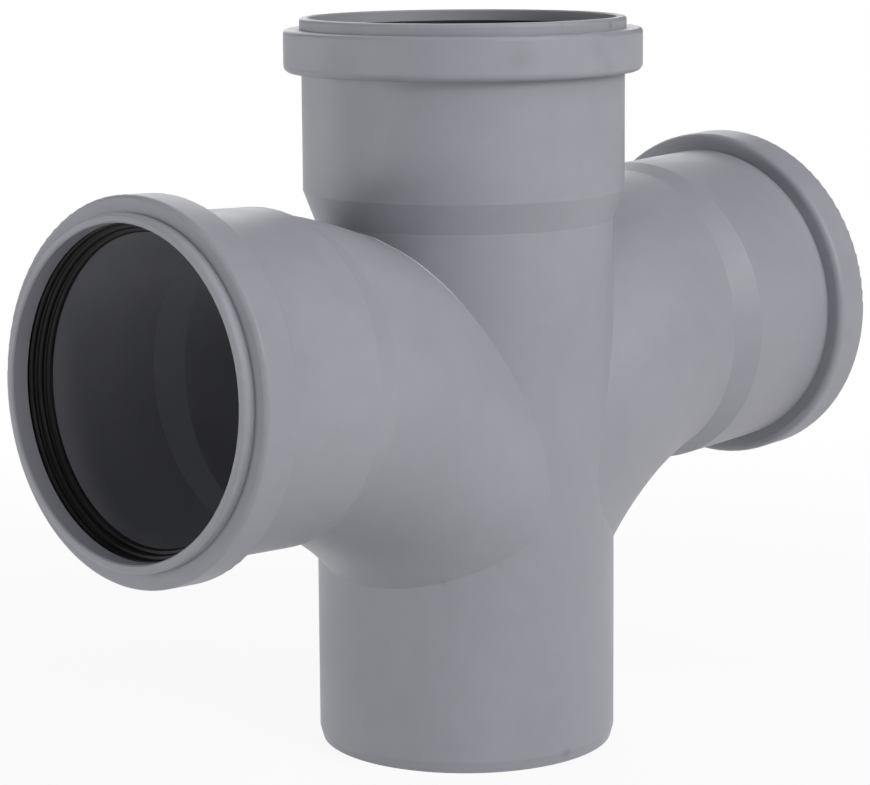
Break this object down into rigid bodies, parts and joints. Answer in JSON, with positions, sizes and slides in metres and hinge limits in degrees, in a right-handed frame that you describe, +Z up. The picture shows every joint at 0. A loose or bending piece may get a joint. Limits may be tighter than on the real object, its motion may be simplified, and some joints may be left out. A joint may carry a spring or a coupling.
{
  "type": "drain pipe cross",
  "caption": "Push-fit waste pipe cross: plain spigot below, collared socket above, swept side branches that end in like sockets, each with a rubber lip seal.",
  "frame": {"origin": "centre of the spigot's end face, on the main tube's axis", "axes": "+Z up the main tube, towards the top socket; the branches leave along +X and -X, in the XZ plane"},
  "size_m": [0.2758, 0.1068, 0.2187],
  "materials": {
    "grey_polypropylene": "moulded satin",
    "black_rubber": "smooth"
  },
  "bodies": {
    "root": {"fitting_body": "grey_polypropylene", "top_seal": "black_rubber", "left_branch_seal": "black_rubber", "right_branch_seal": "black_rubber"}
  },
  "joints": []
}
